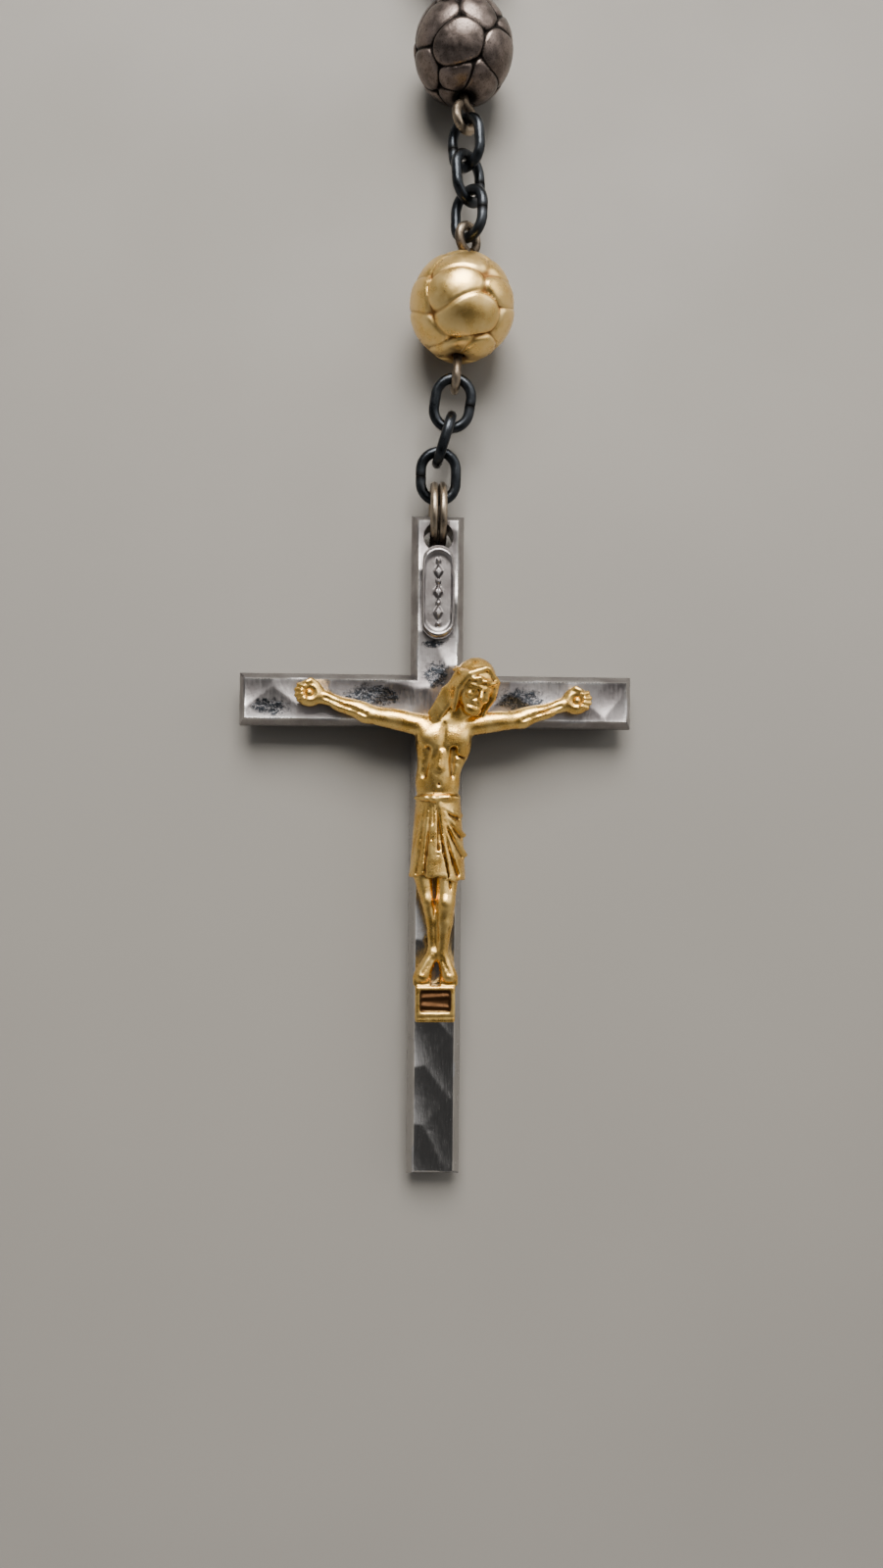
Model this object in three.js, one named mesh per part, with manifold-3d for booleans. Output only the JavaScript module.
// A five-decade rosary laid out flat: crucifix, split ring, pendant chain, centre medal and bead loop.
// Millimetres, +Z up. The crucifix points to -Y and everything rests on the plane z = 0.

import * as THREE from "three";
import { mergeVertices } from "three/addons/utils/BufferGeometryUtils.js";
import Module from "manifold-3d";

const wasm = await Module();
wasm.setup();

// ---- Driving dimensions ----

const WIRE_GAP = 0.08; // play between two wires that hook into each other
const FACE_GAP = 0.05; // play between fixed pieces that lie on each other

const CROSS = {
  height: 49,
  span: 29.2,
  beam: 3.9,
  thickness: 3,
  chamferWidth: 0.52,
  chamferHeight: 1.2,
  footToCrossing: 35.2,
  ringHoleRadius: 1.1,
  ringHoleFromTop: 1.7,
};
const TITULUS = { width: 2.4, length: 6.9, height: 0.55, chamfer: 0.2, centreY: 7.9 };
const RIVET = { shankRadius: 0.3, holeRadius: 0.36, headRadius: 0.5, headHeight: 0.3, crownRadius: 0.35 };
const FOOT_BLOCK = { width: 2.9, length: 2.7, height: 1.4 };
const SPLIT_RING = { outerRadius: 2.45, wire: 0.6, coilPitch: 0.64, centreAboveTop: 0.2, play: 0.03 };
const COIL = { start: 1, sweep: 4 * Math.PI - 1.1, stepFrom: 2 * Math.PI - 0.9, stepTo: 2 * Math.PI - 0.15 };
const LINK = { width: 3.4, length: 4.35, wire: 0.78, seatInSplitRing: 0.67 };
const EYE = { radius: 0.95, wire: 0.68 };
const BEAD = { aveRadius: 3.8, paterRadius: 3.95, boreRadius: 0.5, endPlay: 0.08 };
const MEDAL = {
  halfWidth: 7,
  halfLength: 9,
  thickness: 3.1,
  chamfer: 0.5,
  earWire: 0.9,
  earRadius: 1.2,
  earOverlap: 0.1,
  earSpread: 1.1, // how far round the rim the upper ears sit, as a share of the loop's lean there
};
const LOOP = { widthToLength: 0.43, apexClearance: 1.1, shortest: 200, longest: 400 };

const STRAND_CORE = 1; // diameter of the wire that stands for a strand's pins and middle links
const UPRIGHT = 90; // degrees of roll that stand a flat link or eye on its edge
const LINKS_PER_CHAIN = 3;
const AVES_PER_STRAND = 5;

// Direction of each pendant piece, in degrees from +Y towards +X, from the split ring to the medal.
const PENDANT_HEADINGS = {
  lowerLinks: [0, 17, 8],
  firstPater: 4.5,
  upperLinks: [1, -3.5, -4],
  aves: [-2, -1, 1],
  middleLinks: [2, 1, 0],
  secondPater: 0,
  topLinks: [0, 0, 0],
};

// ---- Materials ----

const metal = (color, roughness) => new THREE.MeshStandardMaterial({ color, roughness, metalness: 1 });
const STEEL = metal(0xb9bbbd, 0.28);
const ANTIQUE_GOLD = metal(0xb08a45, 0.38);
const SATIN_GOLD = metal(0xd8a13c, 0.34);
const DARK_BRONZE = metal(0x3a332d, 0.4);
const BLACKENED = metal(0x4a4743, 0.36);
const BRASS_WIRE = metal(0x8d8063, 0.35);

// ---- Solids ----

const AXIS_X = new THREE.Vector3(1, 0, 0);
const AXIS_Z = new THREE.Vector3(0, 0, 1);
const radians = THREE.MathUtils.degToRad;
const FINE = { sides: 6, segments: 12 };
const PLAIN = { sides: 5, segments: 10 };
const BISECTIONS = 40;

/** A closed geometry as a manifold solid. */
function solid(geometry) {
  const bare = geometry.clone();
  bare.deleteAttribute("normal");
  bare.deleteAttribute("uv");
  const merged = mergeVertices(bare, 1e-4);
  return new wasm.Manifold(
    new wasm.Mesh({
      numProp: 3,
      vertProperties: new Float32Array(merged.attributes.position.array),
      triVerts: new Uint32Array(merged.index.array),
    }),
  );
}

/** A manifold solid as a geometry. */
function geometryOf(manifold) {
  const mesh = manifold.getMesh();
  const geometry = new THREE.BufferGeometry();
  geometry.setAttribute("position", new THREE.BufferAttribute(mesh.vertProperties, 3));
  geometry.setIndex(new THREE.BufferAttribute(mesh.triVerts, 1));
  geometry.computeVertexNormals();
  return geometry;
}

/** Closed geometries joined into one. */
function fuse(geometries) {
  return geometryOf(geometries.map(solid).reduce((whole, next) => whole.add(next)));
}

function named(name, geometry, material) {
  const mesh = new THREE.Mesh(geometry, material);
  mesh.name = name;
  return mesh;
}

/** A round wire bent into a stadium in the XY plane, with its long side on Y. */
function wireLoop(centreRadius, wire, straight = 0, { sides, segments } = FINE) {
  const outward = centreRadius / Math.cos(Math.PI / segments);
  const loop = new THREE.TorusGeometry(outward, wire / 2, sides, segments);
  loop.rotateZ(Math.PI / segments);
  const position = loop.attributes.position;
  for (let i = 0; i < position.count; i += 1) {
    position.setY(i, position.getY(i) + (Math.sign(position.getY(i)) * straight) / 2);
  }
  return loop;
}

/** A rod along Y from one height to another. */
function rod(radius, from, to, sides = 8) {
  return new THREE.CylinderGeometry(radius, radius, to - from, sides).translate(0, (from + to) / 2, 0);
}

function ellipsoid([x, y, z], [rx, ry, rz], leanDegrees = 0) {
  return new THREE.SphereGeometry(1, 8, 6).scale(rx, ry, rz).rotateZ(radians(leanDegrees)).translate(x, y, z);
}

/** The number between two others where a test that starts as true turns false. */
function bisect(from, to, isBelow) {
  let low = from;
  let high = to;
  for (let i = 0; i < BISECTIONS; i += 1) {
    const middle = (low + high) / 2;
    if (isBelow(middle)) {
      low = middle;
    } else {
      high = middle;
    }
  }
  return low;
}

/** A limb: a tapered rod between two points, with round ends. */
function limb(from, to, fromRadius, toRadius) {
  const a = new THREE.Vector3(...from);
  const b = new THREE.Vector3(...to);
  const length = a.distanceTo(b);
  const profile = [new THREE.Vector2(0, -fromRadius)];
  for (const angle of [-40, 0]) {
    const t = radians(angle);
    profile.push(new THREE.Vector2(fromRadius * Math.cos(t), fromRadius * Math.sin(t)));
  }
  for (const angle of [0, 40]) {
    const t = radians(angle);
    profile.push(new THREE.Vector2(toRadius * Math.cos(t), length + toRadius * Math.sin(t)));
  }
  profile.push(new THREE.Vector2(0, length + toRadius));
  const turn = new THREE.Quaternion().setFromUnitVectors(
    new THREE.Vector3(0, 1, 0),
    b.clone().sub(a).normalize(),
  );
  return new THREE.LatheGeometry(profile, 7).applyQuaternion(turn).translate(a.x, a.y, a.z);
}

// ---- Crucifix ----

const HALF_BEAM = CROSS.beam / 2;
const CROSS_TOP = CROSS.height - CROSS.footToCrossing;
const HAND_LEFT = [-9.3, 0.35];
const HAND_RIGHT = [10.2, 0];
const FOOT_PEG = [0, -22.15];
const HAND_TOP = 4.4;

/** A cutter for a round hole along Z through everything within reach of the cross. */
function bore([x, y], radius) {
  const reach = 2 * HAND_TOP;
  return solid(rod(radius, -reach, reach, 12).rotateX(Math.PI / 2).translate(x, y, 0));
}

function crossBody() {
  const halfSpan = CROSS.span / 2;
  const quarter = [
    [HALF_BEAM, CROSS_TOP],
    [HALF_BEAM, HALF_BEAM],
    [halfSpan, HALF_BEAM],
    [halfSpan, -HALF_BEAM],
    [HALF_BEAM, -HALF_BEAM],
    [HALF_BEAM, -CROSS.footToCrossing],
  ];
  const mirrored = quarter.map(([x, y]) => [-x, y]).reverse();
  const outline = [...quarter, ...mirrored].reverse().map(([x, y]) => new THREE.Vector2(x, y));
  const geometry = new THREE.ExtrudeGeometry(new THREE.Shape(outline), {
    depth: CROSS.thickness - 2 * CROSS.chamferHeight,
    bevelSize: CROSS.chamferWidth,
    bevelThickness: CROSS.chamferHeight,
    bevelOffset: -CROSS.chamferWidth,
    bevelSegments: 1,
  });
  let body = solid(geometry.translate(0, 0, CROSS.chamferHeight));
  body = body.subtract(bore([0, CROSS_TOP - CROSS.ringHoleFromTop], CROSS.ringHoleRadius));
  for (const place of [HAND_LEFT, HAND_RIGHT, FOOT_PEG]) {
    body = body.subtract(bore(place, RIVET.holeRadius));
  }
  return named("cross_body", geometryOf(body), STEEL);
}

function titulusPlate() {
  const { width, length, height, chamfer, centreY } = TITULUS;
  const r = width / 2;
  const straight = length / 2 - r;
  const shape = new THREE.Shape();
  shape.absarc(0, straight, r, 0, Math.PI, false);
  shape.absarc(0, -straight, r, Math.PI, 2 * Math.PI, false);
  const geometry = new THREE.ExtrudeGeometry(shape, {
    depth: height - chamfer,
    bevelSize: chamfer,
    bevelThickness: chamfer / 2,
    bevelOffset: -chamfer,
    bevelSegments: 1,
    curveSegments: 5,
  });
  geometry.translate(0, centreY, CROSS.thickness + FACE_GAP + chamfer / 2);
  return named("titulus_plate", geometry, STEEL);
}

function arm(shoulder, elbow, [handX, handY], wristX) {
  const handZ = 3.9;
  return [
    limb(shoulder, elbow, 0.95, 0.78),
    limb(elbow, [wristX, handY, handZ], 0.78, 0.5),
    ellipsoid([handX, handY, handZ], [1.05, 0.8, HAND_TOP - handZ]),
  ];
}

/** The cast figure, flat at the back, with its foot block, a peg behind that and a hole in each hand. */
function corpus() {
  const back = CROSS.thickness + FACE_GAP;
  const body = [
    ellipsoid([2.55, 0.6, 4.75], [1.4, 2.15, 1.45], 14),
    limb([0.9, -1.9, 4.2], [2.1, -0.4, 4.6], 0.95, 0.85),
    ellipsoid([0.5, -3.1, 4.1], [2.45, 2.3, 1.35]),
    ellipsoid([0.1, -6, 3.9], [1.65, 2.4, 1.15]),
    limb([0.1, -8.4, 3.7], [0.1, -11.6, 3.7], 1.9, 2),
    limb([-0.9, -12.2, 3.8], [-0.35, -15.3, 4.3], 1.05, 0.8),
    limb([1.1, -12.2, 3.8], [0.75, -15.3, 4.4], 1.15, 0.9),
    limb([-0.35, -15.3, 4.3], [-0.1, -18.6, 4], 0.75, 0.55),
    limb([0.75, -15.3, 4.4], [0.5, -18.6, 4], 0.85, 0.58),
    limb([-0.2, -18.7, 4], [-0.95, -20.3, 4], 0.62, 0.68),
    limb([0.45, -18.7, 4], [1, -20.3, 4], 0.62, 0.68),
  ];
  const arms = [
    ...arm([-1.5, -2, 4.1], [-5.4, -0.6, 4], HAND_LEFT, HAND_LEFT[0] + 0.6),
    ...arm([2.4, -2, 4.1], [6.3, -0.9, 4], HAND_RIGHT, HAND_RIGHT[0] - 0.6),
  ];
  const { width, length, height } = FOOT_BLOCK;
  const footBlock = new THREE.BoxGeometry(width, length, 2 * height).translate(...FOOT_PEG, back);
  let figure = solid(fuse([...body, ...arms, footBlock]));
  const behind = new THREE.BoxGeometry(2 * CROSS.span, 2 * CROSS.height, 2 * back);
  const peg = rod(RIVET.shankRadius, FACE_GAP, back + height / 2).rotateX(Math.PI / 2);
  figure = figure.subtract(solid(behind)).add(solid(peg.translate(...FOOT_PEG, 0)));
  for (const place of [HAND_LEFT, HAND_RIGHT]) {
    figure = figure.subtract(bore(place, RIVET.holeRadius));
  }
  return named("corpus", geometryOf(figure), ANTIQUE_GOLD);
}

function rivet(name, [x, y], seat) {
  const { shankRadius, headRadius, headHeight, crownRadius } = RIVET;
  const under = seat + FACE_GAP;
  const profile = [
    [0, FACE_GAP],
    [shankRadius, FACE_GAP],
    [shankRadius, under],
    [headRadius, under],
    [crownRadius, under + 0.8 * headHeight],
    [0, under + headHeight],
  ];
  const points = profile.map(([r, h]) => new THREE.Vector2(r, h));
  const geometry = new THREE.LatheGeometry(points, 8).rotateX(Math.PI / 2);
  return named(name, geometry.translate(x, y, 0), ANTIQUE_GOLD);
}

/** The crucifix leans up at its top end, because the split ring stands on the ground under it. */
const RING_CENTRE_Y = CROSS_TOP + SPLIT_RING.centreAboveTop;
const RING_LIFT = SPLIT_RING.outerRadius + SPLIT_RING.play - CROSS.thickness / 2;
const CROSS_LEAN = Math.asin(RING_LIFT / (CROSS.footToCrossing + RING_CENTRE_Y));

function crucifix() {
  const group = new THREE.Group();
  group.add(crossBody(), titulusPlate(), corpus());
  group.add(rivet("rivet_hand_left", HAND_LEFT, HAND_TOP));
  group.add(rivet("rivet_hand_right", HAND_RIGHT, HAND_TOP));
  group.rotation.x = CROSS_LEAN;
  group.position.z = CROSS.footToCrossing * Math.sin(CROSS_LEAN);
  return group;
}

// ---- Split ring ----

/** Just under two turns of wire about X. The wire steps from one coil to the other near its first end. */
class SplitRingCurve extends THREE.Curve {
  getPoint(u, target = new THREE.Vector3()) {
    const radius = SPLIT_RING.outerRadius - SPLIT_RING.wire / 2;
    const angle = u * COIL.sweep;
    const step = THREE.MathUtils.smoothstep(angle, COIL.stepFrom, COIL.stepTo);
    const x = SPLIT_RING.coilPitch * (step - 0.5);
    const turn = COIL.start + angle;
    return target.set(x, radius * Math.sin(turn), radius * Math.cos(turn));
  }
}

function wireSection(wire, sides = 6) {
  const corners = [];
  for (let i = 0; i < sides; i += 1) {
    const t = (2 * Math.PI * i) / sides;
    corners.push(new THREE.Vector2((wire / 2) * Math.cos(t), (wire / 2) * Math.sin(t)));
  }
  return new THREE.Shape(corners);
}

function splitRing() {
  const geometry = new THREE.ExtrudeGeometry(wireSection(SPLIT_RING.wire), {
    extrudePath: new SplitRingCurve(),
    steps: 44,
  });
  const mesh = named("split_ring", geometry, BRASS_WIRE);
  const middle = new THREE.Vector3(0, RING_CENTRE_Y, CROSS.thickness / 2);
  mesh.position.copy(middle.applyAxisAngle(AXIS_X, CROSS_LEAN));
  mesh.position.z += CROSS.footToCrossing * Math.sin(CROSS_LEAN);
  return mesh;
}

// ---- Links, pins and beads: each is made along +Y with its middle at the origin ----

const LINK_INSIDE = LINK.length - 2 * LINK.wire;
const LINK_PITCH = LINK_INSIDE - WIRE_GAP;
const EYE_OUTER = EYE.radius + EYE.wire / 2;
const EYE_INNER = EYE.radius - EYE.wire / 2;

/** Half the length of a bead, flattened where its bore comes out. */
function halfBead(radius) {
  return Math.sqrt(radius ** 2 - (2 * BEAD.boreRadius) ** 2);
}

function eyeCentre(beadRadius) {
  return halfBead(beadRadius) + BEAD.endPlay + EYE_OUTER;
}

/** The distance between the two places where a bead's pin hooks into its neighbours. */
function pinPitch(beadRadius) {
  return 2 * (eyeCentre(beadRadius) + EYE_INNER) - WIRE_GAP;
}

function linkGeometry(detail = FINE) {
  return wireLoop((LINK.width - LINK.wire) / 2, LINK.wire, LINK.length - LINK.width, detail);
}

function beadGeometry(radius) {
  const half = halfBead(radius);
  const profile = [new THREE.Vector2(BEAD.boreRadius, -half)];
  const poleAngle = Math.asin(half / radius);
  for (const share of [-1, -0.6, -0.2, 0.2, 0.6, 1]) {
    const t = share * poleAngle;
    profile.push(new THREE.Vector2(radius * Math.cos(t), radius * Math.sin(t)));
  }
  profile.push(new THREE.Vector2(BEAD.boreRadius, half), profile[0].clone());
  return new THREE.LatheGeometry(profile, 12);
}

function eyeGeometry(centre, roll) {
  return wireLoop(EYE.radius, EYE.wire).rotateY(radians(roll)).translate(0, centre, 0);
}

/** A wire with an eye at each end. The far eye is turned from the near one by twist degrees. */
function pinGeometry(beadRadius, twist) {
  const centre = eyeCentre(beadRadius);
  const reach = centre - EYE.radius;
  return fuse([eyeGeometry(-centre, 0), rod(EYE.wire / 2, -reach, reach), eyeGeometry(centre, twist)]);
}

function medalGeometry() {
  const { halfWidth, halfLength, thickness, chamfer, earWire, earRadius } = MEDAL;
  const shape = new THREE.Shape();
  shape.absellipse(0, 0, halfWidth, halfLength, 0, 2 * Math.PI, false);
  const body = new THREE.ExtrudeGeometry(shape, {
    depth: thickness - 2 * chamfer,
    bevelSize: chamfer,
    bevelThickness: chamfer,
    bevelOffset: -chamfer,
    bevelSegments: 1,
    curveSegments: 12,
  });
  body.translate(0, 0, chamfer - thickness / 2);
  const ears = medalEars().map(([x, y]) => wireLoop(earRadius, earWire).translate(x, y, 0));
  return fuse([body, ...ears]);
}

/** How far from +Y the loop leaves the medal, in radians. */
const LOOP_LEAN = Math.atan(2 * LOOP.widthToLength);

/** The ears' centres, from the medal's own centre: the bottom one, then the left and right ones. */
function medalEars() {
  const stand = MEDAL.earRadius - MEDAL.earOverlap;
  const spread = LOOP_LEAN * MEDAL.earSpread;
  const rimX = MEDAL.halfWidth * Math.sin(spread);
  const rimY = MEDAL.halfLength * Math.cos(spread);
  const side = [rimX + stand * Math.sin(LOOP_LEAN), rimY + stand * Math.cos(LOOP_LEAN)];
  return [[0, -MEDAL.halfLength - stand], [-side[0], side[1]], side];
}

// ---- Chains ----

/** Sets an object's +Y along a line, at its middle, and rolls it about that line from lying flat. */
function placeAlong(object, from, to, roll) {
  const along = to.clone().sub(from).normalize();
  const across = along.clone().cross(AXIS_Z).normalize();
  const up = across.clone().cross(along);
  object.quaternion.setFromRotationMatrix(new THREE.Matrix4().makeBasis(across, along, up));
  object.rotateY(radians(roll));
  object.position.copy(from).add(to).multiplyScalar(0.5);
  return object;
}

/** The next point at a given distance and height, in the direction of a heading. */
function stepTo(from, length, heading, height) {
  const run = Math.sqrt(length ** 2 - (height - from.z) ** 2);
  const t = radians(heading);
  return new THREE.Vector3(from.x + run * Math.sin(t), from.y + run * Math.cos(t), height);
}

/** Three loose links between two heights. Returns the far point of the chain. */
function addLinks(group, prefix, from, headings, endHeight, firstRoll) {
  let at = from;
  headings.forEach((heading, i) => {
    const height = from.z + ((endHeight - from.z) * (i + 1)) / headings.length;
    const next = stepTo(at, LINK_PITCH, heading, height);
    const mesh = named(`${prefix}_link_${i + 1}`, linkGeometry(), BLACKENED);
    group.add(placeAlong(mesh, at, next, firstRoll + i * UPRIGHT));
    at = next;
  });
  return at;
}

/** A bead on its pin. Returns the pin's far point. */
function addBead(group, kind, number, from, heading, roll, twist) {
  const radius = kind === "ave" ? BEAD.aveRadius : BEAD.paterRadius;
  const material = kind === "ave" ? DARK_BRONZE : SATIN_GOLD;
  const names = [`${kind}_bead_${number}`, `${kind}_pin_${number}`];
  const to = stepTo(from, pinPitch(radius), heading, radius);
  addBeadBetween(group, ...names, from, to, radius, roll, twist, material);
  return to;
}

function addBeadBetween(group, beadName, pinName, from, to, radius, roll, twist, material) {
  group.add(placeAlong(named(pinName, pinGeometry(radius, twist), BRASS_WIRE), from, to, roll));
  group.add(placeAlong(named(beadName, beadGeometry(radius), material), from, to, roll));
}

/** The pendant, from the split ring to the medal's bottom ear. Returns where it meets that ear. */
function pendant(group, ringCentre) {
  const headings = PENDANT_HEADINGS;
  const { aveRadius, paterRadius } = BEAD;
  const hooked = SPLIT_RING.outerRadius - SPLIT_RING.wire / 2;
  const slack = LINK.seatInSplitRing - WIRE_GAP / 2;
  const start = ringCentre.clone().add(new THREE.Vector3(0, hooked - slack, 0));
  let at = addLinks(group, "lower", start, headings.lowerLinks, paterRadius, 0);
  at = addBead(group, "pater", 1, at, headings.firstPater, UPRIGHT, -45);
  at = addLinks(group, "upper", at, headings.upperLinks, aveRadius, -45);
  headings.aves.forEach((heading, i) => {
    const [roll, twist] = i === 0 ? [45, 45] : [0, UPRIGHT];
    at = addBead(group, "ave", i + 1, at, heading, roll, twist);
  });
  at = addLinks(group, "middle", at, headings.middleLinks, paterRadius, 0);
  at = addBead(group, "pater", 2, at, headings.secondPater, UPRIGHT, -UPRIGHT);
  return addLinks(group, "top", at, headings.topLinks, MEDAL.thickness / 2, UPRIGHT);
}

// ---- Loop ----

/** The left half of a teardrop, from an ear of the medal to the top of the loop. */
function halfLoop(start, length, t) {
  const width = LOOP.widthToLength * length;
  const x = (start.x * (1 + Math.cos(t))) / 2 - width * Math.sin(t) * Math.sin(t / 2);
  const y = start.y + (length * (1 - Math.cos(t))) / 2;
  return new THREE.Vector2(x, y);
}

/** The lengths and end heights of everything on half of the loop, from the medal to the top. */
function halfLoopPieces() {
  const { aveRadius, paterRadius } = BEAD;
  const ave = () => ({ kind: "ave", length: pinPitch(aveRadius), height: aveRadius });
  const links = (from, to) =>
    Array.from({ length: LINKS_PER_CHAIN }, (_, i) => ({
      kind: "link",
      length: LINK_PITCH,
      height: from + ((to - from) * (i + 1)) / LINKS_PER_CHAIN,
    }));
  const aves = () => Array.from({ length: AVES_PER_STRAND }, ave);
  const pater = { kind: "pater", length: pinPitch(paterRadius), height: paterRadius };
  const rising = (from) => ({ kind: "strand", pieces: [...links(from, aveRadius), ...aves()] });
  const falling = () => ({ kind: "strand", pieces: [...aves(), ...links(aveRadius, paterRadius)] });
  const paterUnit = { kind: "pater", pieces: [pater] };
  const decadeEnd = [falling(), paterUnit];
  return [
    rising(MEDAL.thickness / 2),
    ...decadeEnd,
    rising(paterRadius),
    ...decadeEnd,
    rising(paterRadius),
  ];
}

/** The points where the pieces meet, walked along a half loop of the given length. */
function walkHalfLoop(start, length) {
  const points = [start.clone()];
  let t = 0;
  for (const piece of halfLoopPieces().flatMap((unit) => unit.pieces)) {
    const from = points[points.length - 1];
    const run = Math.sqrt(piece.length ** 2 - (piece.height - from.z) ** 2);
    t = bisect(t, t + 0.5, (next) => {
      const p = halfLoop(start, length, next);
      return Math.hypot(p.x - from.x, p.y - from.y) < run;
    });
    const p = halfLoop(start, length, t);
    points.push(new THREE.Vector3(p.x, p.y, piece.height));
  }
  return points;
}

/** The loop's length for which the last piece ends just short of the middle. */
function fitHalfLoop(start) {
  const limit = -LOOP.apexClearance / 2 - EYE.wire;
  const length = bisect(LOOP.shortest, LOOP.longest, (tried) => walkHalfLoop(start, tried).at(-1).x > limit);
  return walkHalfLoop(start, length);
}

/** A geometry carried from its own frame to the place between two points. */
function placedGeometry(geometry, from, to, roll) {
  const holder = placeAlong(new THREE.Object3D(), from, to, roll);
  holder.updateMatrix();
  return geometry.applyMatrix4(holder.matrix);
}

/** The profile of a straight strand's beads and core, turned about Y from one height to another. */
function strandProfile(pieces, from, to) {
  const radius = BEAD.aveRadius;
  const core = STRAND_CORE / 2;
  const rows = [[0, from], [core, from]];
  let joint = 0;
  for (const { kind, length } of pieces) {
    const middle = joint + length / 2;
    joint += length;
    if (kind === "ave") {
      rows.push([core, middle - radius]);
      for (const angle of [-50, 0, 50]) {
        const t = radians(angle);
        rows.push([radius * Math.cos(t), middle + radius * Math.sin(t)]);
      }
      rows.push([core, middle + radius]);
    }
  }
  rows.push([core, to], [0, to]);
  return rows.map(([r, y]) => new THREE.Vector2(r, y));
}

/** Bends a geometry made along Y so that it follows a row of points. */
function bendAlong(geometry, pieces, points) {
  const position = geometry.attributes.position;
  const ends = pieces.map(({ length }, i) => pieces.slice(0, i).reduce((sum, p) => sum + p.length, length));
  const vertex = new THREE.Vector3();
  for (let n = 0; n < position.count; n += 1) {
    vertex.fromBufferAttribute(position, n);
    const i = Math.max(0, ends.findIndex((end) => vertex.y <= end));
    const holder = placeAlong(new THREE.Object3D(), points[i], points[i + 1], 0);
    vertex.y -= ends[i] - pieces[i].length / 2;
    vertex.applyQuaternion(holder.quaternion).add(holder.position);
    position.setXYZ(n, vertex.x, vertex.y, vertex.z);
  }
  return geometry;
}

/** Five aves and three links joined in one solid. Only the hooks at its two ends are open. */
function strandGeometry(pieces, points) {
  const last = pieces.length - 1;
  const put = (geometry, i, roll = 0) => placedGeometry(geometry, points[i], points[i + 1], roll);
  const total = pieces.reduce((sum, { length }) => sum + length, 0);
  const hook = eyeCentre(BEAD.aveRadius);
  const intoLink = LINK_PITCH + LINK.wire / 2;
  const intoEye = EYE_INNER - WIRE_GAP / 2 + EYE.radius;
  const startsWithLink = pieces[0].kind === "link";
  const [from, to] = startsWithLink ? [intoLink, total - intoEye] : [intoEye, total - intoLink];
  const beads = bendAlong(new THREE.LatheGeometry(strandProfile(pieces, from, to), 8), pieces, points);
  if (startsWithLink) {
    return fuse([beads, put(linkGeometry(PLAIN), 0, UPRIGHT), put(eyeGeometry(hook, UPRIGHT), last)]);
  }
  return fuse([beads, put(linkGeometry(PLAIN), last), put(eyeGeometry(-hook, 0), 0)]);
}

/** One half of the loop. side is -1 on the left and 1 on the right. */
function addHalfLoop(group, leftPoints, side) {
  const points = leftPoints.map((p) => new THREE.Vector3(-side * p.x, p.y, p.z));
  const label = side < 0 ? "left" : "right";
  const made = { strand: 0, pater: 0 };
  let at = 0;
  for (const { kind, pieces } of halfLoopPieces()) {
    const own = points.slice(at, at + pieces.length + 1);
    made[kind] += 1;
    if (kind === "strand") {
      const mesh = named(`${label}_strand_${made.strand}`, strandGeometry(pieces, own), DARK_BRONZE);
      group.add(mesh);
    } else {
      const names = [`${label}_pater_bead_${made.pater}`, `${label}_pater_pin_${made.pater}`];
      addBeadBetween(group, ...names, ...own, BEAD.paterRadius, UPRIGHT, -UPRIGHT, SATIN_GOLD);
    }
    at += pieces.length;
  }
}

// ---- Assembly ----

function rosary() {
  const group = new THREE.Group();
  const ring = splitRing();
  group.add(crucifix(), ring);
  const bottomEarHook = pendant(group, ring.position);

  const hook = MEDAL.earRadius - MEDAL.earWire / 2 - WIRE_GAP / 2;
  const [bottomEar, leftEar] = medalEars();
  const medal = named("centre_medal", medalGeometry(), BRASS_WIRE);
  medal.position.set(bottomEarHook.x, bottomEarHook.y + hook - bottomEar[1], MEDAL.thickness / 2);
  group.add(medal);

  const startX = leftEar[0] - hook * Math.sin(LOOP_LEAN);
  const startY = leftEar[1] + hook * Math.cos(LOOP_LEAN);
  const loop = new THREE.Group();
  const half = fitHalfLoop(new THREE.Vector3(startX, startY, MEDAL.thickness / 2));
  addHalfLoop(loop, half, -1);
  addHalfLoop(loop, half, 1);
  loop.position.set(medal.position.x, medal.position.y, 0);
  group.add(loop);
  return group;
}

/** Moves the model so that the origin is at the middle of the underside of its box. */
function onOrigin(model) {
  const box = new THREE.Box3().setFromObject(model, true);
  const centre = box.getCenter(new THREE.Vector3());
  model.position.set(-centre.x, -centre.y, -box.min.z);
  const root = new THREE.Group();
  root.add(model);
  return root;
}

export default onOrigin(rosary());
